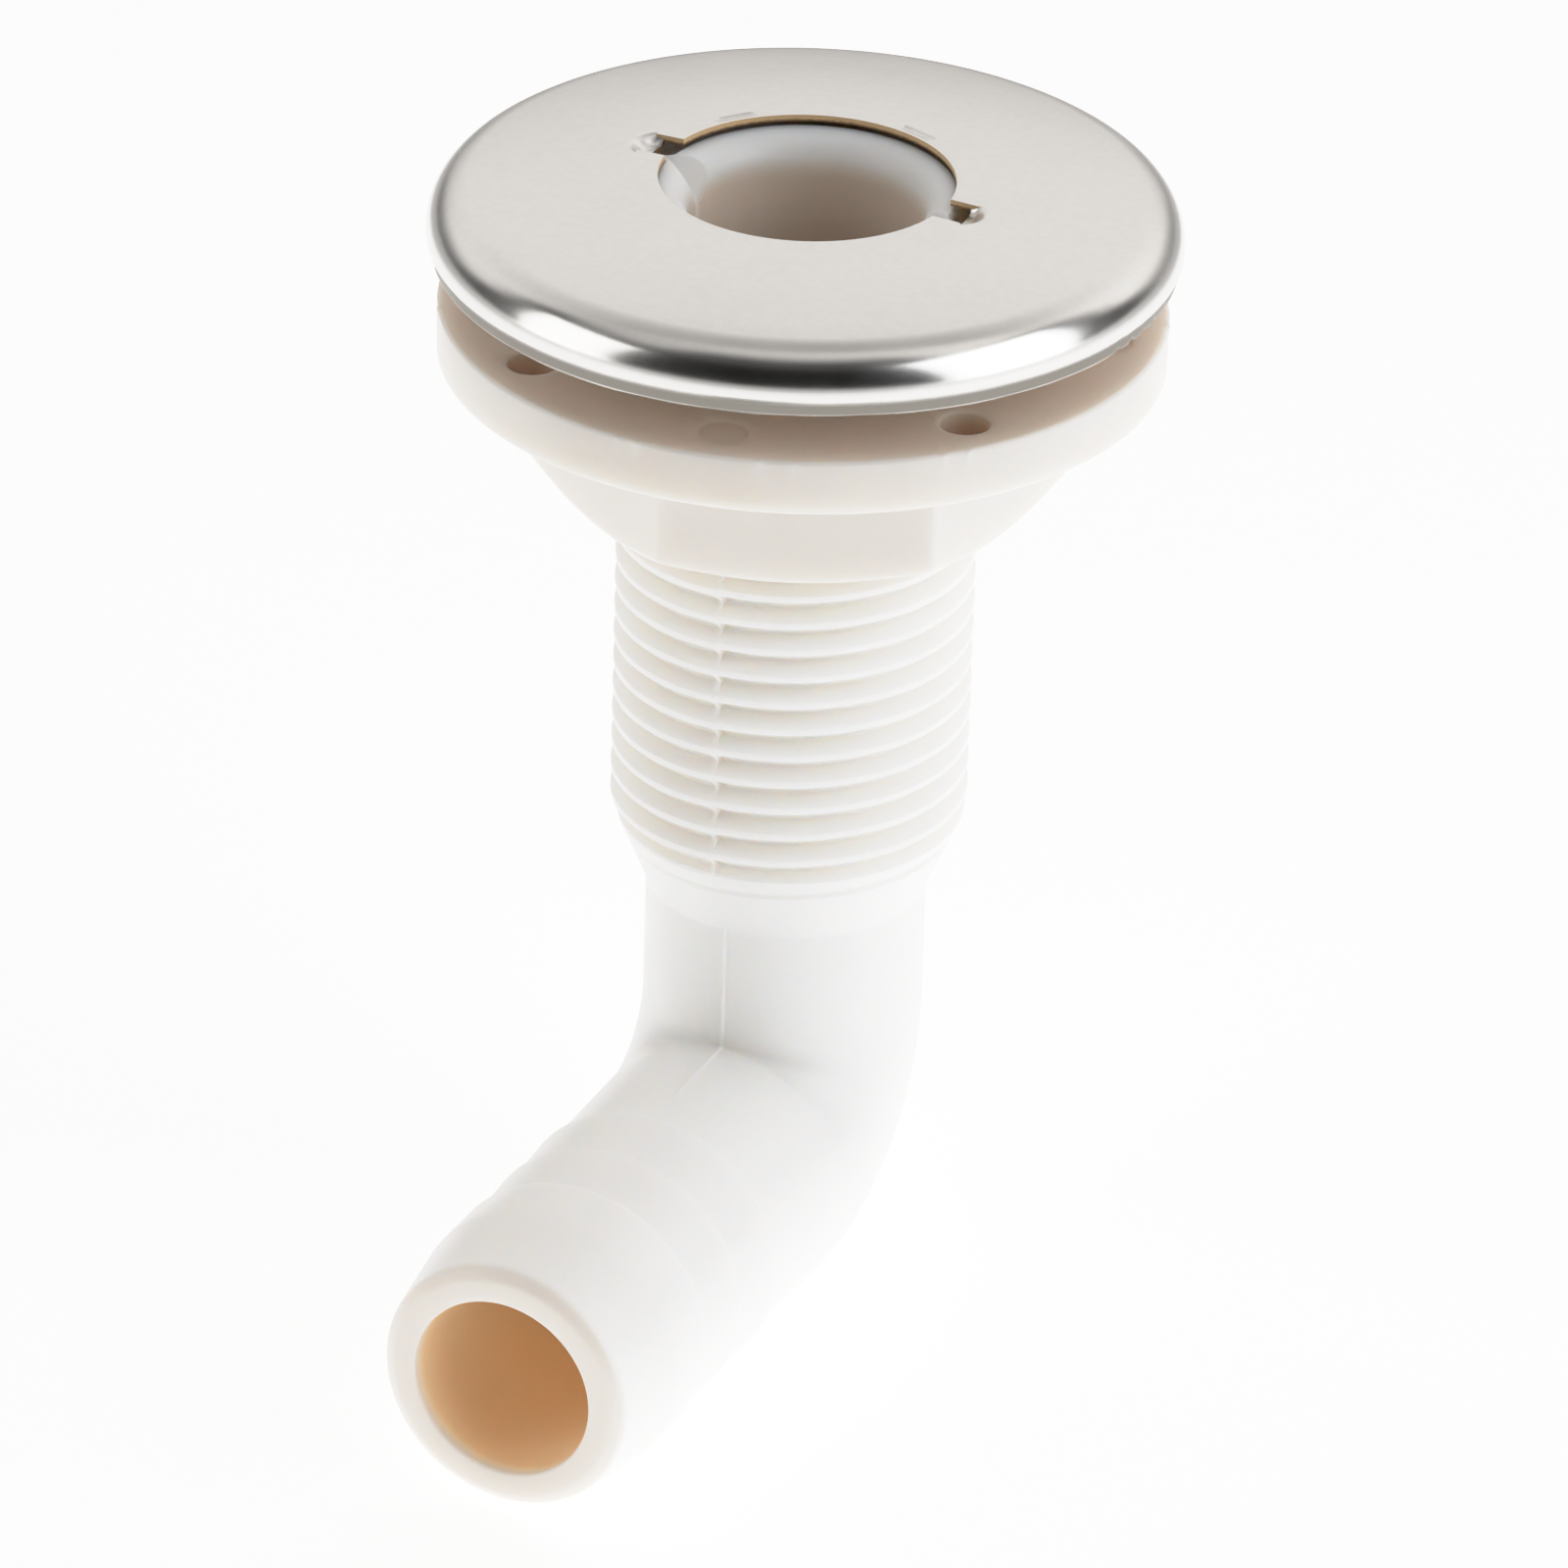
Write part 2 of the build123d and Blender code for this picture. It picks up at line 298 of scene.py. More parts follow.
def rounded(points, steps=5):
    """A profile of (x, y, corner radius) with its corners rounded."""
    out = []
    for i, (x, y, radius) in enumerate(points):
        here = np.array((x, y), float)
        if radius <= 0 or i in (0, len(points) - 1):
            out.append(here)
            continue
        before = np.array(points[i - 1][:2], float) - here
        after = np.array(points[i + 1][:2], float) - here
        reach_before, reach_after = np.linalg.norm(before), np.linalg.norm(after)
        before, after = before / reach_before, after / reach_after
        half = math.acos(float(np.clip(before @ after, -1, 1))) / 2
        cut = min(radius / math.tan(half), 0.48 * reach_before, 0.48 * reach_after)
        radius = cut * math.tan(half)
        middle = here + (before + after) / np.linalg.norm(before + after) * radius / math.sin(half)
        start, end = here + before * cut - middle, here + after * cut - middle
        turn = math.acos(float(np.clip(start @ end / radius**2, -1, 1)))
        for k in range(steps + 1):
            t = k / steps
            mix = (math.sin((1 - t) * turn) * start + math.sin(t * turn) * end) / math.sin(turn)
            out.append(middle + mix)
    return np.array(out)


def dense(profile, longest):
    """Divides a profile's long runs."""
    out = [profile[0]]
    for a, b in zip(profile[:-1], profile[1:]):
        parts = max(1, math.ceil(np.linalg.norm(b - a) / longest))
        out += [a + (b - a) * (k + 1) / parts for k in range(parts)]
    return np.array(out)


def column_angles(step, clusters):
    """Angles in degrees round the axis, with extra ones round some directions."""
    extra = sorted((centre + offset) % 360 for centre, offsets in clusters for offset in offsets)
    keep = []
    for a in np.arange(0, 360, step):
        gap = min(abs((a - e + 180) % 360 - 180) for e in extra) if extra else 360
        if gap > step * 0.45:
            keep.append(a)
    return np.array(sorted(keep + extra))


def signed(angle, centre):
    """The angle from a centre, from -180 up to 180 degrees."""
    return (angle - centre + 180.0) % 360.0 - 180.0


def turned(profile, angles):
    """A lathe patch from (radius, z) rows."""
    th = np.radians(angles)
    r, z = profile[:, 0:1], profile[:, 1:2]
    return np.stack([r * np.cos(th), r * np.sin(th), z + 0 * th], axis=-1)


# --- moulded body -----------------------------------------------------------
body_angles = column_angles(
    2.4, [(90, SEAM_OFFSETS), (270, SEAM_OFFSETS), (0, WEDGE_OFFSETS), (180, WEDGE_OFFSETS)]
)
body_turn = np.radians(body_angles)
plastic_top = HEAD_TOP - SHEET - GAP
mouth_centre_z = plastic_top - SLOT_DROP - MOUTH_ROUND


def seam(angles):
    """1 on the two mould parting lines, 0 beside them."""
    off = np.minimum(abs(signed(angles, 90)), abs(signed(angles, 270)))
    return 1.0 - smoothstep((off - 0.45) / 0.6)


def seam_web(angles):
    """Flash left in the thread's groove beside each parting line: steep on one side."""
    off = np.where(abs(signed(angles, 270)) < 90, signed(angles, 270), signed(angles, 90))
    return np.where(off > 0, 1.0 - smoothstep((off - 0.15) / 0.45), 1.0 - smoothstep((-off - 0.3) / 1.9))


def groove_radius(z, turn):
    """Radius of the thread's groove, and how far along the thread the point is, in turns."""
    along = (z - THREAD_BOTTOM) / PITCH - turn / (2 * math.pi)
    off = abs(along - np.round(along)) * PITCH
    rise = np.maximum(off - ROOT_HALF, 0.0)
    root = np.maximum(ROOT_HALF - off, 0.0)
    radius = THREAD_ROOT_R + 0.06 - 0.05 * smoothstep(root / ROOT_HALF) + rise / FLANK
    return radius, np.round(along) + turn / (2 * math.pi)


def blank_radius(z):
    """Radius of the barrel and its cone before the thread is cut."""
    return np.interp(-z, (-BARREL_END, -CONE_END), (BARREL_R, NECK_R))


def barrel_radius(z, turn):
    """Radius of the threaded barrel; the groove runs out at the top."""
    groove, turns = groove_radius(z, turn)
    fade = smoothstep((THREAD_TURNS - turns) / 0.12)
    groove = groove + (1.0 - fade) * 2.0
    return soft_min(blank_radius(z), groove, 0.14)


def barrel_points(z, turn):
    """Points of the threaded barrel; the mould's halves meet a little out of step."""
    radius = barrel_radius(z, turn)
    ends = smoothstep((THREAD_START - z) / 3.0) * smoothstep((z - THREAD_STOP) / 3.0)
    degrees = np.degrees(turn)
    side = np.tanh(np.minimum(abs(signed(degrees, 90)), abs(signed(degrees, 270))) / 0.5)
    step = HALVES_STEP * np.sign(np.cos(turn)) * side
    radius = radius + (0.04 + 0.38 * (blank_radius(z) - radius)) * seam_web(degrees) * ends
    return np.stack([radius * np.cos(turn), radius * np.sin(turn), z + step * ends], axis=-1)


def thread_rows(offsets, top, bottom, turn):
    """Heights of rows that follow the thread, clamped to a span."""
    turns = math.ceil((top - bottom) / PITCH) + 3
    drop = np.array([k * PITCH + o for k in range(turns) for o in offsets])
    z = top + PITCH - drop[:, None] + PITCH * turn[None, :] / (2 * math.pi)
    return np.clip(z, bottom, top)


def body_mesh():
    """Head, threaded barrel, neck, elbow and barbed tail, hollow from mouth to tip."""
    shell = Shell()
    turn = body_turn
    corner = np.cos(turn), np.sin(turn)

    def vertical(radius, z):
        radius = np.broadcast_to(radius, turn.shape)
        return np.stack([radius * corner[0], radius * corner[1], np.full(turn.shape, z)], axis=-1)

    def mouth_ring(radius, z):
        """A ring of the mouth with the two V notches: columns gather on the notch's edges."""
        x_far = WEDGE_R + (z - plastic_top) / math.tan(WEDGE_SLOPE)
        lean = 1.0 / math.sin(WEDGE_SLOPE)
        low, high = 0.0, radius
        for _ in range(40):
            y = (low + high) / 2
            if x_far - lean * y > math.sqrt(max(radius**2 - y**2, 0)):
                low = y
            else:
                high = y
        half = max(low, 0.12)
        edge = math.degrees(math.asin(half / radius))
        out = np.zeros((len(turn), 3))
        for i, angle in enumerate(body_angles):
            centre = 0.0 if math.cos(turn[i]) > 0 else 180.0
            off = signed(angle, centre)
            side = math.cos(math.radians(centre))
            if abs(off) <= WEDGE_TURN + 1e-6:
                y = half * off / WEDGE_TURN
                x = max(math.sqrt(radius**2 - y**2), x_far - lean * abs(y))
                out[i] = (side * x, side * y, z)
            else:
                if abs(off) < WEDGE_SPREAD:
                    t = (abs(off) - WEDGE_TURN) / (WEDGE_SPREAD - WEDGE_TURN)
                    off = math.copysign(edge + (WEDGE_SPREAD - edge) * t, off)
                bend = math.radians(centre + off)
                out[i] = (radius * math.cos(bend), radius * math.sin(bend), z)
        return out

    # head, under the metal cap
    edge_centre_z = HEAD_TOP - DOME_DROP - EDGE_R
    edge_centre_r = CAP_R - EDGE_R
    inner_edge = EDGE_R - SHEET - GAP
    mouth = [(INLET_R, z) for z in INLET_LEAD]
    for a in np.linspace(0, math.pi / 2, 16):
        mouth.append((MOUTH_R - MOUTH_ROUND * math.cos(a), mouth_centre_z + MOUTH_ROUND * math.sin(a)))
    mouth_rings = [mouth_ring(r, z) for r, z in mouth]
    head = [(14.0, plastic_top - 0.03), (19.0, plastic_top - 0.38)]
    for a in np.radians(np.linspace(90, 0, 9)):
        head.append((edge_centre_r + inner_edge * math.cos(a), edge_centre_z + inner_edge * math.sin(a)))
    lip_r = CAP_R - LIP_STEP - SHEET - GAP
    head += [(CAP_R - SHEET - GAP, LIP_TOP + LIP_STEP), (lip_r, LIP_TOP)]
    head += [tuple(p) for p in rounded(
        [
            (lip_r, LIP_TOP, 0),
            (lip_r, LIP_BOTTOM + SHEET + GAP, 0.2),
            (SEAT_R, LIP_BOTTOM + SHEET + GAP, 0.1),
            (SEAT_R, 0, 0.25),
            (BARREL_R, 0, 0.5),
            (BARREL_R, THREAD_START, 0),
        ]
    )[1:-1]]
    # a trough under the sheet, round the mouth
    crest = mouth_rings[-1]
    crest_r = np.hypot(crest[:, 0], crest[:, 1])
    bottom = plastic_top - TROUGH_DEPTH
    rings = [crest]
    for r, z in (
        (TROUGH_INNER_R, crest[0, 2] - 0.06),
        (TROUGH_INNER_R + 0.07, bottom + 0.3),
        (TROUGH_INNER_R + 0.35, bottom),
        (TROUGH_OUTER_R - 0.3, bottom),
        (TROUGH_OUTER_R, bottom + 0.3),
    ):
        rings.append(vertical(np.maximum(r, crest_r + 0.05), z))
    rings += [vertical(r, z) for r, z in dense(np.array(head), 3.0)]
    rings.append(barrel_points(np.full(turn.shape, THREAD_START), turn))
    shell.rings(np.array(rings))

    # thread: rows follow the helix
    z = thread_rows(BODY_THREAD_ROWS, THREAD_START, THREAD_STOP, turn)
    shell.spiral(barrel_points(z, np.broadcast_to(turn, z.shape)), len(BODY_THREAD_ROWS))

    # cone's end, neck
    ridge = SEAM_HEIGHT * seam(body_angles)
    rings = [barrel_points(np.full(turn.shape, THREAD_STOP), turn)]
    blank_end = float(blank_radius(THREAD_STOP))
    neck = rounded([(blank_end, THREAD_STOP, 0), (NECK_R, CONE_END, 1.2), (NECK_R, BEND_TOP, 0)])
    neck = dense(neck, 1.2)
    for r, z in neck[1:]:
        rings.append(vertical(r + ridge * float(smoothstep((CONE_END + 0.6 - z) / 0.8)), z))
    shell.rings(np.array(rings))

    def along(radius, angle=None, at=None):
        """A ring on the bend, at an angle, or on the tail, at a distance along it."""
        radius = np.broadcast_to(radius, turn.shape)
        out, up = radius * corner[0], radius * corner[1]
        if at is None:
            c, s = math.cos(angle), math.sin(angle)
            y = -BEND_R + (BEND_R + up) * c
            z = BEND_TOP - (BEND_R + up) * s
            return np.stack([out, y, z], axis=-1)
        return np.stack([out, np.full(turn.shape, -at), TAIL_Z - up], axis=-1)

    shell.rings(np.array([along(NECK_R + ridge, angle=a) for a in np.linspace(0, math.pi / 2, 28)]))

    # barbed tail and its tip
    tail = [(NECK_R, BEND_R, 0)]
    for start, high in zip(BARB_STARTS, (BARB_HIGH_R, BARB_HIGH_R, LAND_R)):
        tail.append((BARB_LOW_R, start - 0.15, 0.5))
        tail.append((high, start + 0.2, 0.6))
    tail += [
        (LAND_R, LAND_END, 9.0),
        (TIP_R + 0.1, TAIL_LENGTH - 0.6, 0.9),
        (TIP_R - 0.75, TAIL_LENGTH, 0.9),
        (TUBE_BORE_R, TAIL_LENGTH, 0.22),
        (TUBE_BORE_R, TAIL_LENGTH - 4, 0),
    ]
    rings = []
    for r, at in dense(rounded(tail, 6), 1.3):
        outside = float(r > 9)
        rings.append(along(r + ridge * float(smoothstep(SEAM_END - at)) * outside, at=at))
    for at in np.linspace(TAIL_LENGTH - 6, BEND_R, 14):
        rings.append(along(TUBE_BORE_R, at=at))
    shell.rings(np.array(rings))
    shell.rings(np.array([along(TUBE_BORE_R, angle=a) for a in np.linspace(math.pi / 2, 0, 16)]))

    # bore back up to the mouth
    up = dense(
        rounded(
            [
                (TUBE_BORE_R, BEND_TOP, 0),
                (TUBE_BORE_R, TAPER_END, 2.0),
                (INLET_R, INLET_END, 2.0),
                (INLET_R, INLET_LEAD[0], 0),
            ]
        ),
        4.0,
    )
    rings = [vertical(r, z) for r, z in up[:-1]] + mouth_rings
    shell.rings(np.array(rings))
    return shell.mesh("moulded_body")


# --- pressed cap ------------------------------------------------------------
def cap_mesh():
    """Domed sheet with a notched hole and a turned-in lip."""
    across = (0, 0.25, 0.5, 0.75, 1.0)
    notch_offsets = [math.degrees(math.asin(f * NOTCH_HALF / NOTCH_END_R)) for f in across]
    notch_offsets = sorted({-o for o in notch_offsets} | set(notch_offsets))
    side_turn = notch_offsets[-1]
    clusters = [(0, notch_offsets), (180, notch_offsets)]
    clusters += [(angle, STAKE_OFFSETS) for angle in STAKE_ANGLES]
    clusters += [(angle, TICK_OFFSETS) for angle, _, _ in LIP_BURRS]
    angles = column_angles(1.6, clusters)
    edge_centre_z = HEAD_TOP - DOME_DROP - EDGE_R
    edge_centre_r = CAP_R - EDGE_R

    def dome(r):
        t = (r - CAP_HOLE_R) / (edge_centre_r - CAP_HOLE_R)
        return HEAD_TOP - DOME_DROP * (0.2 * t + 0.8 * t * t)

    profile = []
    by_hole = [CAP_HOLE_R, 11.06, 11.14]
    for r in np.concatenate([by_hole, np.arange(11.3, 14.6, 0.15), np.arange(15.0, 24.0, 0.9)]):
        profile.append((r, dome(r)))
    slope = math.atan(DOME_DROP * 1.8 / (edge_centre_r - CAP_HOLE_R))
    for a in np.linspace(math.pi / 2 - slope, 0, 15):
        profile.append((edge_centre_r + EDGE_R * math.cos(a), edge_centre_z + EDGE_R * math.sin(a)))
    lip = rounded(
        [
            (CAP_R, edge_centre_z, 0),
            (CAP_R, LIP_TOP + LIP_STEP + 0.15, 0.35),
            (CAP_R - LIP_STEP, LIP_TOP, 0.35),
            (CAP_R - LIP_STEP, LIP_BOTTOM, 0.5),
            (LIP_INNER_R, LIP_BOTTOM, 0),
        ],
        5,
    )
    profile += [tuple(p) for p in lip[1:]]
    profile = np.array(profile)

    th = np.radians(angles)
    rows = len(profile)
    points = np.zeros((rows, len(angles), 3))
    inside = np.zeros((rows, len(angles)), bool)
    for j, angle in enumerate(angles):
        centre = 0.0 if math.cos(th[j]) > 0 else 180.0
        off = signed(angle, centre)
        for i, (r, z) in enumerate(profile):
            bend = off
            if r < NOTCH_END_R and abs(off) < NOTCH_SPREAD:
                weight = 1 - float(smoothstep((abs(off) - side_turn) / (NOTCH_SPREAD - side_turn)))
                straight = math.degrees(math.asin(NOTCH_END_R * math.sin(math.radians(off)) / r))
                bend = off + weight * (straight - off)
            a = math.radians(centre + bend)
            points[i, j] = (r * math.cos(a), r * math.sin(a), z)
            inside[i, j] = abs(off) <= side_turn + 1e-6
    # punched stakes round the hole
    for stake in STAKE_ANGLES:
        a = math.radians(stake)
        out = points[..., 0] * math.cos(a) + points[..., 1] * math.sin(a)
        side = -points[..., 0] * math.sin(a) + points[..., 1] * math.cos(a)
        reach = np.hypot(np.maximum(abs(side) - STAKE_HALF, 0.0), out - STAKE_R)
        dent = STAKE_DEPTH * (1 - smoothstep((reach - 0.05) / 0.36))
        points[..., 2] -= np.where(out > 0, dent, 0)
    # lower lip: a little uneven, as pressed and trimmed
    low = smoothstep((LIP_TOP + 0.6 - points[..., 2]) / 1.2)
    wave = 0.035 * np.sin(5 * th + 0.7) + 0.02 * np.sin(13 * th + 2.0) + 0.012 * np.sin(31 * th)
    for angle, width, height in LIP_BURRS:
        off = np.radians(signed(angles, angle)) * CAP_R
        wave = wave + height * np.exp(-((off / width) ** 2))
    points[..., 2] += low * wave[None, :]

    shell = Shell()
    index = np.arange(rows * len(angles)).reshape(rows, len(angles))
    sunk = points.copy()
    sunk_index = index + rows * len(angles)
    faces = []
    # the sheet bends down past each notch, into a rounded dimple
    for way in (1, -1):
        x = sunk[..., 0] * way
        y = sunk[..., 1]
        back = TONGUE_BACK - 0.75 * (y / NOTCH_HALF) ** 2
        drop = smoothstep((back - x) / 1.15)
        sides = 1 - smoothstep((abs(y) - NOTCH_HALF + 0.25) / 0.5)
        by_notch = (x > 10) & (x < 14.6) & (abs(y) < 2.3)
        sunk[..., 2] -= np.where(by_notch, TONGUE_DEPTH * drop * sides, 0)
    for i in range(rows - 1):
        r = profile[i, 0]
        for j in range(len(angles)):
            k = (j + 1) % len(angles)
            tongue = inside[i, j] and inside[i, k]
            on_top = profile[i + 1, 1] > 5.0 and profile[i + 1, 0] < 14.7
            if tongue and r < TONGUE_START - 1e-6:
                continue
            near = r >= NOTCH_END_R - 1e-6
            if on_top and (tongue or near):
                table = sunk_index
            else:
                table = index
            faces.append((table[i, j], table[i, k], table[i + 1, k], table[i + 1, j]))
    shell.add(np.concatenate([points, sunk]), np.array(faces))
    cap = shell.mesh("pressed_cap", 60)
    cap.data.materials.append(stainless())
    cap.data.materials.append(cut_steel())
    cap.data.materials.append(steel_inside_painted_shade())
    thick = cap.modifiers.new("sheet", "SOLIDIFY")
    thick.thickness = SHEET * MM
    thick.offset = -1.0
    thick.use_even_offset = False
    thick.material_offset_rim = 1
    thick.material_offset = 2
    applied(cap)
    shade(cap, 40)
    return cap


# --- nut --------------------------------------------------------------------
def washer_mesh():
    """Round flange of the nut, with pockets in its top."""
    angles = column_angles(1.8, [(angle, TICK_OFFSETS) for angle, _, _ in RIM_FLASH])
    th = np.radians(angles)
    middle = (RIM_TOP + RIM_BOTTOM) / 2
    outline = [
        (RIM_BORE_R, middle, 0),
        (RIM_BORE_R, RIM_TOP, 0.35),
        (RIM_R, RIM_TOP, 0.35),
        (RIM_R - 0.04, RIM_BOTTOM, 0.18),
        (RIM_BORE_R, RIM_BOTTOM, 0.3),
        (RIM_BORE_R, middle, 0),
    ]
    profile = dense(rounded(outline, 6), 1.3)
    points = turned(profile, angles)
    # flash left on the upper rim by the mould; it stands outwards, clear of the cap's lip
    from_edge = np.hypot(profile[:, 0] - RIM_R + 0.1, profile[:, 1] - RIM_TOP)
    near = np.exp(-((from_edge / 0.35) ** 2))[:, None]
    for angle, width, height in RIM_FLASH:
        off = np.radians(signed(angles, angle)) * RIM_R
        lift = height * np.exp(-((off / width) ** 2))[None, :] * near
        points[..., 0] += 0.8 * lift * np.cos(th)
        points[..., 1] += 0.8 * lift * np.sin(th)
        points[..., 2] += 0.12 * lift
    shell = Shell()
    shell.rings(points)
    washer = shell.mesh("nut_flange", 40)

    # four deep pockets, and four shallow marks between them
    cutter = Shell()
    ring = np.arange(0, 360, 7.5)
    for k in range(4):
        for shift, depth, lead in ((0, 3.0, 0.14), (45, 0.22, 0.10)):
            a = math.radians(POCKET_PHASE + shift + 90 * k)
            cut = rounded(
                [
                    (0, RIM_TOP + 1, 0),
                    (POCKET_R + lead * 2, RIM_TOP + 1, 0),
                    (POCKET_R + lead * 2, RIM_TOP + 0.02, 0),
                    (POCKET_R, RIM_TOP - lead, 0.2),
                    (POCKET_R - 0.06, RIM_TOP - depth, 0.15),
                    (0, RIM_TOP - depth, 0),
                ]
            )
            cut[0, 0] = cut[-1, 0] = 0.0
            points = turned(cut, ring)
            points[..., 0] += POCKET_CIRCLE_R * math.cos(a)
            points[..., 1] += POCKET_CIRCLE_R * math.sin(a)
            cutter.rings(points)
    tool = cutter.mesh("pocket_tool", 40)
    cut = washer.modifiers.new("pockets", "BOOLEAN")
    cut.operation = "DIFFERENCE"
    cut.solver = "EXACT"
    cut.object = tool
    applied(washer)
    bpy.data.objects.remove(tool)
    shade(washer, 40)
    return washer


def hexagon_mesh():
    """Hexagon of the nut: chamfered below, threaded inside."""
    corners = [(HEX_PHASE + 60 * k) % 360 for k in range(6)]
    angles = column_angles(2.5, [(c, CORNER_OFFSETS) for c in corners])
    th = np.radians(angles)
    # distance from the axis to the flats, and to the rounded corners between them
    off = np.array([min((signed(a, c) for c in corners), key=abs) for a in angles])
    d = np.radians(off)
    flat = HEX_APOTHEM / np.cos(math.radians(30) - abs(d))
    centre = (HEX_APOTHEM - HEX_CORNER_R) / math.cos(math.radians(30))
    arc = centre * np.cos(d) + np.sqrt(np.maximum(HEX_CORNER_R**2 - (centre * np.sin(d)) ** 2, 0))
    limit = math.atan2(HEX_CORNER_R * 0.5, centre + HEX_CORNER_R * math.cos(math.radians(30)))
    outer = np.where(abs(d) < limit, arc, flat)
    crease_z = HEX_BOTTOM + (outer - HEX_CHAMFER_R) * HEX_CHAMFER_TAN
    x, y = np.cos(th), np.sin(th)

    def ring(radius, z):
        radius = np.broadcast_to(radius, th.shape)
        return np.stack([radius * x, radius * y, np.broadcast_to(z, th.shape)], axis=-1)

    shell = Shell()
    rows = [
        ring(HEX_MOUTH_R + 0.35, HEX_TOP),
        ring(outer - 0.35, HEX_TOP),
        ring(outer - 0.1, HEX_TOP - 0.08),
        ring(outer, HEX_TOP - 0.35),
    ]
    for t in (0.25, 0.5, 0.75):
        rows.append(ring(outer, HEX_TOP - 0.35 + (crease_z + 0.7 - HEX_TOP) * t))
    rows += [
        ring(outer, crease_z + 0.35),
        ring(outer - 0.03, crease_z + 0.14),
        ring(outer - 0.12, crease_z - 0.02),
        ring(outer - 0.32, crease_z - 0.15),
    ]
    span = outer - 0.32 - HEX_CHAMFER_R
    fall = crease_z - 0.15 - HEX_BOTTOM
    for t in (0.33, 0.66):
        rows.append(ring(HEX_CHAMFER_R + span * (1 - t), HEX_BOTTOM + fall * (1 - t)))
    rows += [
        ring(HEX_CHAMFER_R + 0.12, HEX_BOTTOM + 0.05),
        ring(HEX_CHAMFER_R - 0.15, HEX_BOTTOM),
        ring(15.0, HEX_BOTTOM),
        ring(HEX_MOUTH_R + 0.15, HEX_BOTTOM),
        ring(HEX_MOUTH_R, HEX_BOTTOM + 0.08),
    ]
    low, high = HEX_BOTTOM + 0.9, HEX_TOP - 0.9

    def female(z, turn):
        """Points of the thread inside the hexagon."""
        along = (z - THREAD_BOTTOM) / PITCH - turn / (2 * math.pi)
        off = abs(along - np.round(along)) * PITCH
        tip_half = ROOT_HALF + (NUT_BORE_R - THREAD_ROOT_R) * FLANK - 0.06
        radius = np.minimum(NUT_BORE_R + np.maximum(off - tip_half, 0) / FLANK, NUT_MAJOR_R)
        return np.stack([radius * np.cos(turn), radius * np.sin(turn), z], axis=-1)

    rows.append(female(np.full(th.shape, low), th))
    shell.rings(np.array(rows))
    z = thread_rows(NUT_THREAD_ROWS, high, low, th)
    shell.spiral(female(z, np.broadcast_to(th, z.shape)), len(NUT_THREAD_ROWS))
    rows = [
        female(np.full(th.shape, high), th),
        ring(HEX_MOUTH_R, HEX_TOP - 0.08),
        ring(HEX_MOUTH_R + 0.35, HEX_TOP),
    ]
    shell.rings(np.array(rows))
    return shell.mesh("nut_hexagon", 40)


# --- materials --------------------------------------------------------------
class Paint:
    """Short names for building the nodes of a material or a world."""

    def __init__(self, owner, coordinates="Object"):
        owner.use_nodes = True
        self.owner = owner
        self.tree = owner.node_tree
        self.shader = self.tree.nodes.get("Principled BSDF")
        self.place = self.node("ShaderNodeTexCoord").outputs[coordinates]

    def node(self, kind, **inputs):
        made = self.tree.nodes.new(kind)
        for name, value in inputs.items():
            self.put(made.inputs[name.replace("_", " ")], value)
        return made

    def put(self, socket, value):
        if isinstance(value, bpy.types.NodeSocket):
            self.tree.links.new(value, socket)
        else:
            socket.default_value = value

    def noise(self, scale, detail=3.0, rough=0.55):
        made = self.node("ShaderNodeTexNoise", Scale=scale, Detail=detail, Roughness=rough)
        self.put(made.inputs["Vector"], self.place)
        return made.outputs["Fac"]

    def math(self, kind, a, b=0.0, c=0.0):
        made = self.tree.nodes.new("ShaderNodeMath")
        made.operation = kind
        for socket, value in zip(made.inputs, (a, b, c)):
            self.put(socket, value)
        return made.outputs[0]

    def times(self, a, b):
        return self.math("MULTIPLY", a, b)

    def length(self, a, b):
        return self.math("SQRT", self.math("ADD", self.times(a, a), self.times(b, b)))

    def span(self, value, low, high, to_low=0.0, to_high=1.0):
        """A smooth step from to_low at low to to_high at high."""
        made = self.tree.nodes.new("ShaderNodeMapRange")
        made.interpolation_type = "SMOOTHSTEP"
        for socket, number in zip(made.inputs, (value, low, high, to_low, to_high)):
            self.put(socket, number)
        return made.outputs[0]

    def mix(self, factor, a, b, blend="MIX"):
        made = self.tree.nodes.new("ShaderNodeMix")
        made.data_type = "RGBA"
        made.blend_type = blend
        self.put(made.inputs["Factor"], factor)
        self.put(made.inputs[6], a)
        self.put(made.inputs[7], b)
        return made.outputs[2]

    def bump(self, height, strength, distance, normal=None):
        made = self.node("ShaderNodeBump", Strength=strength, Distance=distance, Height=height)
        if normal is not None:
            self.put(made.inputs["Normal"], normal)
        return made.outputs["Normal"]

    def axes(self):
        split = self.node("ShaderNodeSeparateXYZ")
        self.put(split.inputs[0], self.place)
        return split.outputs[0], split.outputs[1], split.outputs[2]


# colours as red, green, blue, alpha
BODY_WHITES = (0.935, 0.92, 0.90, 1), (0.965, 0.955, 0.94, 1)
NUT_WHITES = (0.77, 0.742, 0.708, 1), (0.815, 0.79, 0.762, 1)
# painted shade: the next two tint the recesses of the body and of the nut warmer and darker
BODY_PAINTED_SHADE = (0.98, 0.94, 0.90, 1)
NUT_PAINTED_SHADE = (0.93, 0.80, 0.67, 1)
# painted shade of the tail's cut end
TIP_PAINTED_SHADE = (0.84, 0.80, 0.765, 1)
# painted shade of the inlet, from its top down
INLET_PAINTED_SHADES = (0.84, 0.75, 0.66, 1), (0.60, 0.49, 0.39, 1)
# painted glow in the tail's bore: its colour and its emission colour
BORE_PAINTED_GLOW_TONE = (0.83, 0.715, 0.525, 1)
BORE_PAINTED_GLOW = (1.0, 0.64, 0.34, 1)


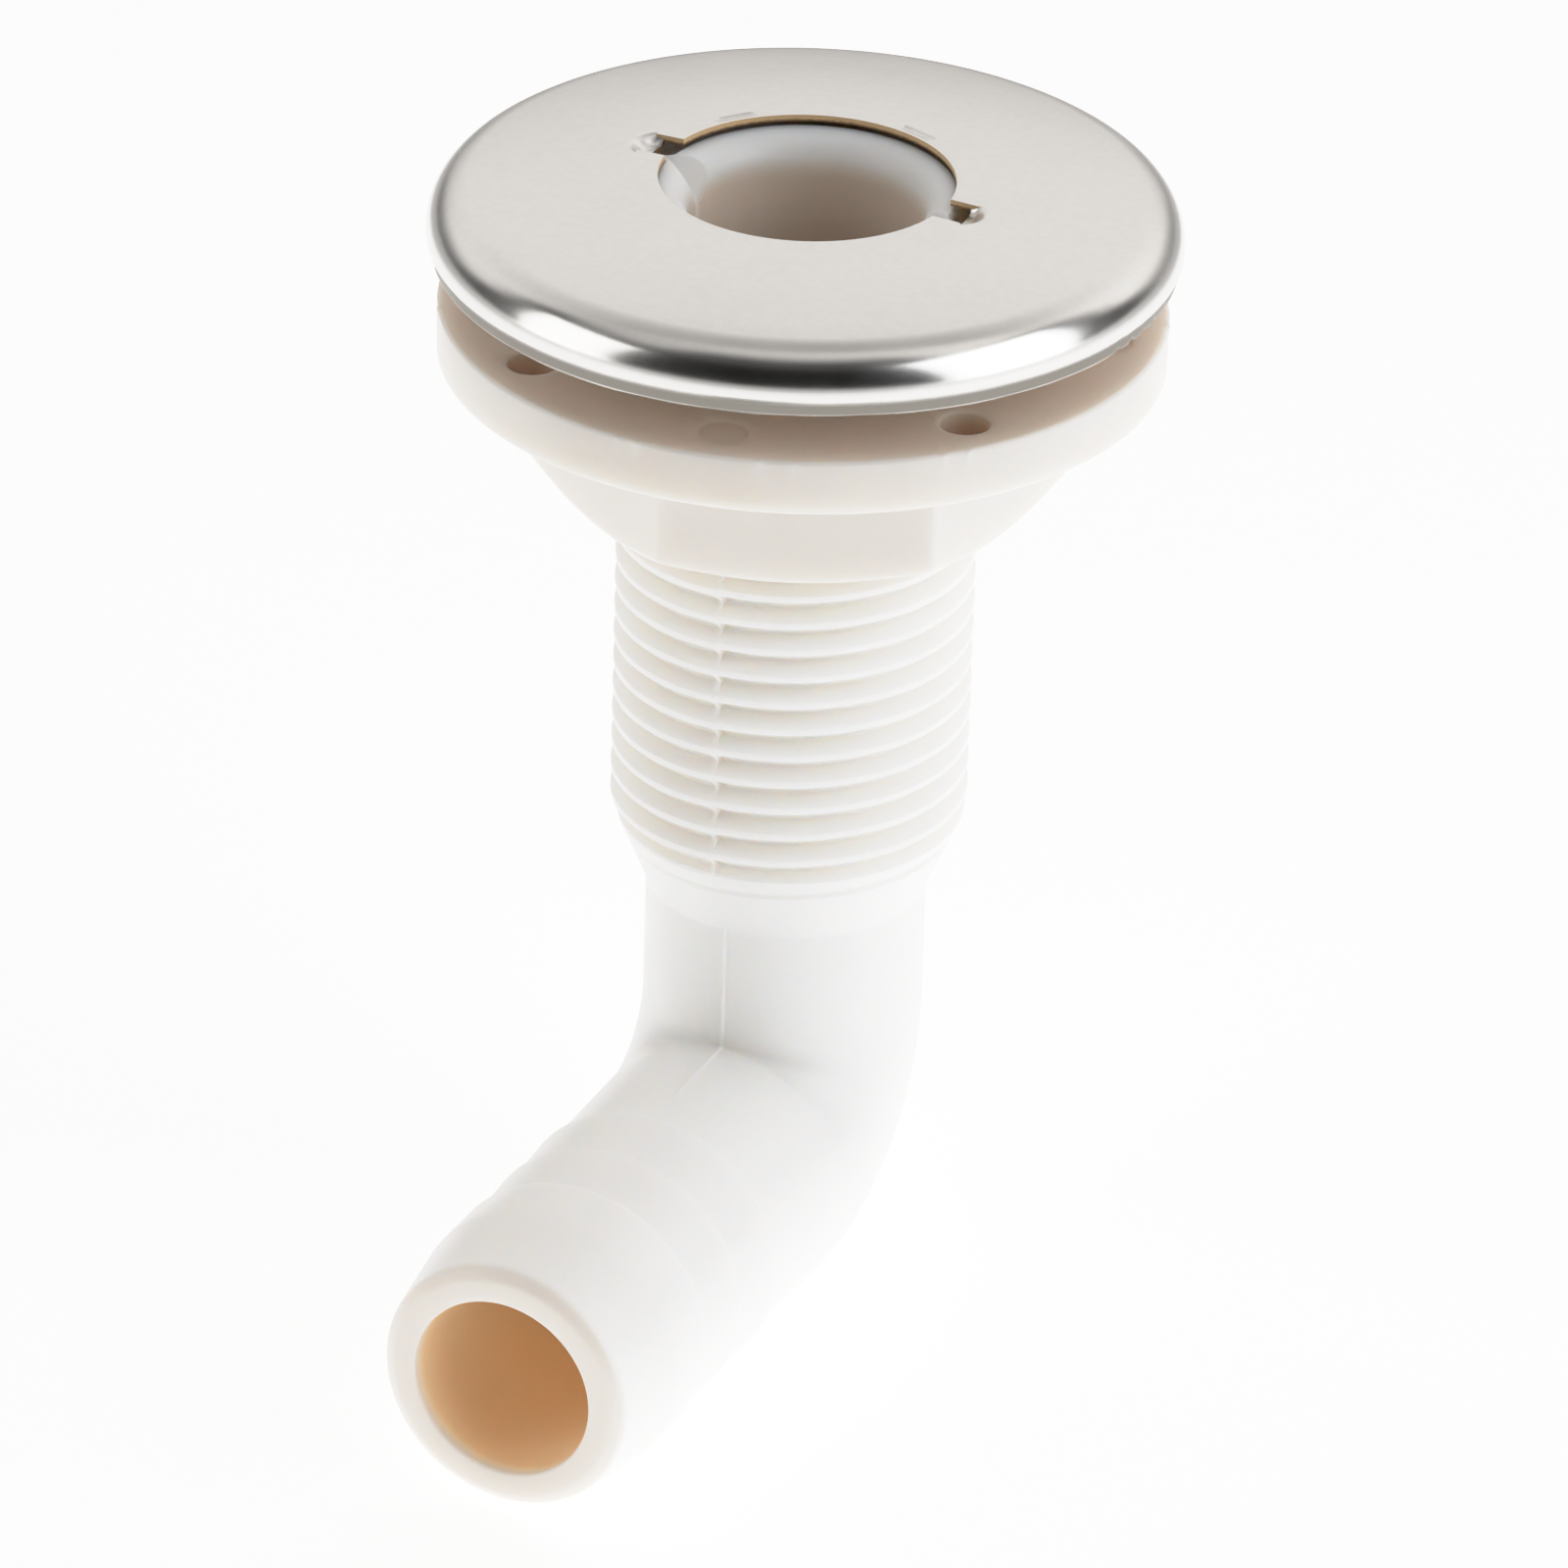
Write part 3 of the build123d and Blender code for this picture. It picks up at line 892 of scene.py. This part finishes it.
def white_plastic(name, whites, painted_shade_tint, has_water_way=False):
    """Moulded white plastic, a little cloudy, with painted shade that makes its recesses warmer and darker.
    """
    paint = Paint(bpy.data.materials.new(name))
    shader = paint.shader
    shader.inputs["IOR"].default_value = 1.5
    shader.inputs["Subsurface Weight"].default_value = 0.75
    shader.inputs["Subsurface Radius"].default_value = (1.0, 0.80, 0.62)
    shader.inputs["Subsurface Scale"].default_value = 0.0032
    colour = paint.mix(paint.noise(90.0, 3.0), *whites)
    painted_glow = None
    if has_water_way:
        colour, painted_glow = water_way(paint, colour)
    # painted shade: an ambient occlusion mask tints creases, grooves and gaps warmer and darker
    hidden = paint.node("ShaderNodeAmbientOcclusion", Distance=0.007)
    hidden.samples = 6
    painted_recess_shade = paint.span(hidden.outputs["AO"], 0.15, 0.85, 1.0, 0.0)
    colour = paint.mix(painted_recess_shade, colour, painted_shade_tint, "MULTIPLY")
    if painted_glow is not None:
        # painted glow: a warm colour and a faint emission in the tail's bore stand in for light coming
        # through its thin translucent walls
        colour = paint.mix(painted_glow, colour, BORE_PAINTED_GLOW_TONE)
        shader.inputs["Emission Color"].default_value = BORE_PAINTED_GLOW
        paint.put(shader.inputs["Emission Strength"], paint.times(painted_glow, 0.07))
    paint.put(shader.inputs["Base Color"], colour)
    normal = paint.bump(paint.noise(150.0, 2.0), 0.35, 0.00025)
    normal = paint.bump(paint.noise(1900.0, 4.0, 0.65), 0.28, 0.00003, normal)
    paint.put(shader.inputs["Normal"], normal)
    patches = paint.noise(170.0, 4.0)
    paint.put(shader.inputs["Roughness"], paint.span(patches, 0.3, 0.7, 0.30, 0.42))
    return paint.owner


def water_way(paint, colour):
    """Painted shade in the inlet and at the tail's end; also gives where the tail's bore has its painted
    glow.
    """
    x, y, z = paint.axes()
    # from the tail's axis, and along it
    out = paint.length(x, paint.math("SUBTRACT", z, TAIL_Z * MM))
    in_bore = paint.span(out, (TUBE_BORE_R + 0.5) * MM, (TUBE_BORE_R + 0.05) * MM)
    past_tip = paint.span(y, -(TAIL_LENGTH - 0.1) * MM, -(TAIL_LENGTH - 1.6) * MM)
    before_bend = paint.span(y, -9.0 * MM, -14.0 * MM)
    # where the tail's bore gets its painted glow
    painted_glow = paint.times(paint.times(in_bore, past_tip), before_bend)
    # painted shade: the cut end of the tail is made a little warmer and darker than the rest
    painted_tip_shade = paint.span(y, -(TAIL_LENGTH - 1.3) * MM, -(TAIL_LENGTH - 0.3) * MM)
    colour = paint.mix(painted_tip_shade, colour, TIP_PAINTED_SHADE)
    # painted shade: the inlet is made darker and browner downwards
    in_inlet = paint.span(paint.length(x, y), (INLET_R + 0.4) * MM, (INLET_R + 0.05) * MM)
    painted_inlet_shade = paint.mix(paint.span(z, 2.0 * MM, -14.0 * MM), *INLET_PAINTED_SHADES)
    below_mouth = paint.span(z, 4.2 * MM, 2.0 * MM)
    above_bend = paint.span(z, -60.0 * MM, -50.0 * MM)
    inside = paint.times(in_inlet, paint.times(below_mouth, above_bend))
    return paint.mix(inside, colour, painted_inlet_shade), painted_glow


def stainless():
    """Satin on the dome, polished round the edge, rougher along the trimmed lip, where painted shade
    darkens it.
    """
    paint = Paint(bpy.data.materials.new("stainless_steel"))
    shader = paint.shader
    shader.inputs["Metallic"].default_value = 1.0
    z = paint.axes()[2]
    dome = paint.span(z, (HEAD_TOP - 1.9) * MM, (HEAD_TOP - 1.2) * MM)
    lip = paint.times(
        paint.span(z, (LIP_TOP + 0.5) * MM, (LIP_TOP - 0.1) * MM),
        paint.span(z, (LIP_BOTTOM + 0.12) * MM, (LIP_BOTTOM + 0.40) * MM),
    )
    cloud = paint.noise(150.0, 2.0)
    grain = paint.noise(1500.0, 1.0, 0.5)
    colour = paint.mix(cloud, (0.745, 0.735, 0.72, 1), (0.785, 0.777, 0.765, 1))
    colour = paint.mix(paint.span(grain, 0.3, 0.7, 0.0, 0.20), colour, (0.69, 0.68, 0.66, 1))
    # painted shade: the band along the lip is coloured dark, so that it shows a dim reflection
    colour = paint.mix(lip, colour, (0.27, 0.255, 0.23, 1))
    paint.put(shader.inputs["Base Color"], colour)
    polished = paint.span(cloud, 0.3, 0.7, 0.18, 0.22)
    satin = paint.span(cloud, 0.3, 0.7, 0.295, 0.335)
    satin = paint.math("MULTIPLY_ADD", grain, 0.03, satin)
    rough = paint.math("MULTIPLY_ADD", dome, paint.math("SUBTRACT", satin, polished), polished)
    rough = paint.math("MULTIPLY_ADD", lip, 0.12, rough)
    paint.put(shader.inputs["Roughness"], rough)
    ripple = paint.noise(320.0, 1.0)
    paint.put(shader.inputs["Normal"], paint.bump(ripple, 0.10, 0.00006))
    return paint.owner


def steel_inside_painted_shade():
    """The unpolished inside of the pressed sheet, coloured near black as painted shade."""
    paint = Paint(bpy.data.materials.new("stainless_inside"))
    shader = paint.shader
    shader.inputs["Metallic"].default_value = 0.6
    inside_mottle = paint.noise(400.0, 3.0)
    # painted shade: the inside of the sheet is near black, varied by a mottle
    colour = paint.mix(inside_mottle, (0.07, 0.06, 0.055, 1), (0.13, 0.12, 0.11, 1))
    paint.put(shader.inputs["Base Color"], colour)
    paint.put(shader.inputs["Roughness"], paint.span(inside_mottle, 0.3, 0.7, 0.5, 0.65))
    return paint.owner


def cut_steel():
    """The sheared edge of the sheet, a little torn, with a painted warm reflection on its upper part and
    painted shadow on its lower part.
    """
    paint = Paint(bpy.data.materials.new("stainless_cut_edge"))
    shader = paint.shader
    shader.inputs["Metallic"].default_value = 0.35
    z = paint.axes()[2]
    torn = paint.noise(2600.0, 3.0)
    # painted shadow: the lower part of the cut edge is coloured dark, with a torn border, for the gap under
    # it; the upper part is coloured gold as a painted warm reflection
    height = paint.math("MULTIPLY_ADD", torn, 0.0002, z)
    upper_painted_reflection = paint.span(height, (HEAD_TOP - 0.33) * MM, (HEAD_TOP - 0.18) * MM)
    colour = paint.mix(upper_painted_reflection, (0.30, 0.19, 0.10, 1), (0.86, 0.64, 0.38, 1))
    paint.put(shader.inputs["Base Color"], colour)
    paint.put(shader.inputs["Roughness"], paint.span(torn, 0.3, 0.7, 0.35, 0.6))
    paint.put(shader.inputs["Normal"], paint.bump(torn, 0.5, 0.00005))
    return paint.owner


def dress(piece, material):
    """Gives the piece this one material."""
    piece.data.materials.clear()
    piece.data.materials.append(material)


# --- the pieces -------------------------------------------------------------
body_plastic = white_plastic("body_plastic_white", BODY_WHITES, BODY_PAINTED_SHADE, has_water_way=True)
nut_plastic = white_plastic("nut_plastic_white", NUT_WHITES, NUT_PAINTED_SHADE)

body = body_mesh()
dress(body, body_plastic)
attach(body, "fitting")
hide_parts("body")

cap = cap_mesh()
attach(cap, "fitting")
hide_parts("cap")

washer = washer_mesh()
dress(washer, nut_plastic)
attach(washer, "washer")
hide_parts("flange_washer")

hexagon = hexagon_mesh()
dress(hexagon, nut_plastic)
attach(hexagon, "nut")
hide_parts("hex_nut")

# --- stage, lights, camera --------------------------------------------------
scene = bpy.context.scene
scene.view_settings.view_transform = "Standard"
scene.view_settings.use_curve_mapping = True
tone_curve = scene.view_settings.curve_mapping
tone_curve.white_level = (WHITE, WHITE, WHITE)
for bright, shown in TONES:
    tone_curve.curves[3].points.new(bright / WHITE, shown)
tone_curve.update()

floor_z = cad_low.z - FLOOR_GAP
floor_corners = [(x * FLOOR_HALF, y * FLOOR_HALF, floor_z) for x, y in ((-1, -1), (1, -1), (1, 1), (-1, 1))]
floor_mesh = bpy.data.meshes.new("floor")
floor_mesh.from_pydata(floor_corners, [], [(0, 1, 2, 3)])
floor = bpy.data.objects.new("floor", floor_mesh)
scene.collection.objects.link(floor)
floor_paint = Paint(bpy.data.materials.new("floor_white"))
floor_x, floor_y, _ = floor_paint.axes()
floor_glow = floor_paint.span(floor_paint.length(floor_x, floor_y), *GLOW_FADES, FLOOR_GLOW, FAR_GLOW)
floor_paint.shader.inputs["Base Color"].default_value = (0.84, 0.84, 0.84, 1)
floor_paint.shader.inputs["Roughness"].default_value = 0.8
floor_paint.shader.inputs["Emission Color"].default_value = (1, 1, 1, 1)
floor_paint.put(floor_paint.shader.inputs["Emission Strength"], floor_glow)
floor_mesh.materials.append(floor_paint.owner)

forward = Vector((
    -math.sin(CAMERA_TURN) * math.cos(CAMERA_RISE),
    math.cos(CAMERA_TURN) * math.cos(CAMERA_RISE),
    -math.sin(CAMERA_RISE),
))
level = Vector((math.cos(CAMERA_TURN), math.sin(CAMERA_TURN), 0))
upright = level.cross(forward)
right = level * math.cos(CAMERA_ROLL) + upright * math.sin(CAMERA_ROLL)
up = upright * math.cos(CAMERA_ROLL) - level * math.sin(CAMERA_ROLL)
head_middle = Vector((0, 0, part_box("cap")[1].z))
camera = bpy.data.objects.new("camera", bpy.data.cameras.new("camera"))
scene.collection.objects.link(camera)
camera.data.lens = CAMERA_LENS
camera.data.clip_start = 0.05
camera.data.clip_end = 10
spot = head_middle + right * AIM_SIDE - up * AIM_DROP - forward * CAMERA_REACH
camera.matrix_world = Matrix((
    (right.x, up.x, -forward.x, spot.x),
    (right.y, up.y, -forward.y, spot.y),
    (right.z, up.z, -forward.z, spot.z),
    (0, 0, 0, 1),
))
scene.camera = camera


def softbox(name, turn, rise, reach, width, height, power, colour):
    """A rectangular lamp that faces the object; its angles are degrees from the photographed side."""
    a = CAMERA_TURN + math.radians(turn)
    e = math.radians(rise)
    back = Vector((math.sin(a) * math.cos(e), -math.cos(a) * math.cos(e), math.sin(e)))
    data = bpy.data.lights.new(name, "AREA")
    data.shape = "RECTANGLE"
    data.size = width
    data.size_y = height
    data.energy = power
    data.color = colour
    lamp = bpy.data.objects.new(name, data)
    scene.collection.objects.link(lamp)
    lamp.location = Vector((0, 0, -0.035)) + back * reach
    lamp.rotation_mode = "QUATERNION"
    lamp.rotation_quaternion = back.to_track_quat("Z", "Y")


softbox("box_left", -73, 14, 0.9, 0.52, 0.90, 2.3, (1.0, 0.99, 0.965))
softbox("box_right", 64, 20, 0.9, 0.74, 1.05, 4.7, (0.965, 0.98, 1.0))


def studio_world():
    """A dim studio: dark on the photographed side, grey overhead, pale behind the object."""
    world = bpy.data.worlds.new("studio")
    scene.world = world
    paint = Paint(world, "Generated")

    def dot(vector):
        made = paint.tree.nodes.new("ShaderNodeVectorMath")
        made.operation = "DOT_PRODUCT"
        paint.put(made.inputs[0], paint.place)
        paint.put(made.inputs[1], vector)
        return made.outputs["Value"]

    def mix(factor, a, b):
        return paint.math("MULTIPLY_ADD", factor, paint.math("SUBTRACT", b, a), a)

    # angles round the object from the photographed side, and above the floor
    front = dot((math.sin(CAMERA_TURN), -math.cos(CAMERA_TURN), 0))
    side = dot((math.cos(CAMERA_TURN), math.sin(CAMERA_TURN), 0))
    height = dot((0, 0, 1))
    round_angle = paint.math("ABSOLUTE", paint.math("ARCTAN2", side, front))
    rise = paint.math("ARCSINE", height)

    def ramp(value, low, high, to_low=0.0, to_high=1.0):
        """A smooth step between two angles in degrees."""
        return paint.span(value, math.radians(low), math.radians(high), to_low, to_high)

    ahead = paint.math("ADD", ramp(rise, 33, 54, 0.012, 0.08), ramp(rise, 54, 80, 0.0, 0.62))
    high_beside = ramp(rise, 40, 58, 0.0, 1.0)
    side_light = paint.math("MULTIPLY_ADD", side, 0.30, 0.60)
    beside = paint.math("MULTIPLY_ADD", high_beside, side_light, 0.10)
    behind_low = paint.math("MULTIPLY_ADD", side, 0.12, ramp(rise, 2, 21, 0.30, 0.90))
    behind = mix(ramp(rise, 35, 72), behind_low, 0.40)
    level = mix(ramp(round_angle, 42, 60), ahead, beside)
    back_angle = paint.math("ADD", round_angle, ramp(rise, 2, 26, 0.0, math.radians(14)))
    level = mix(ramp(back_angle, 112, 130), level, behind)
    background = paint.tree.nodes["Background"]
    background.inputs["Color"].default_value = (1.0, 0.975, 0.95, 1)
    paint.put(background.inputs["Strength"], level)


studio_world()
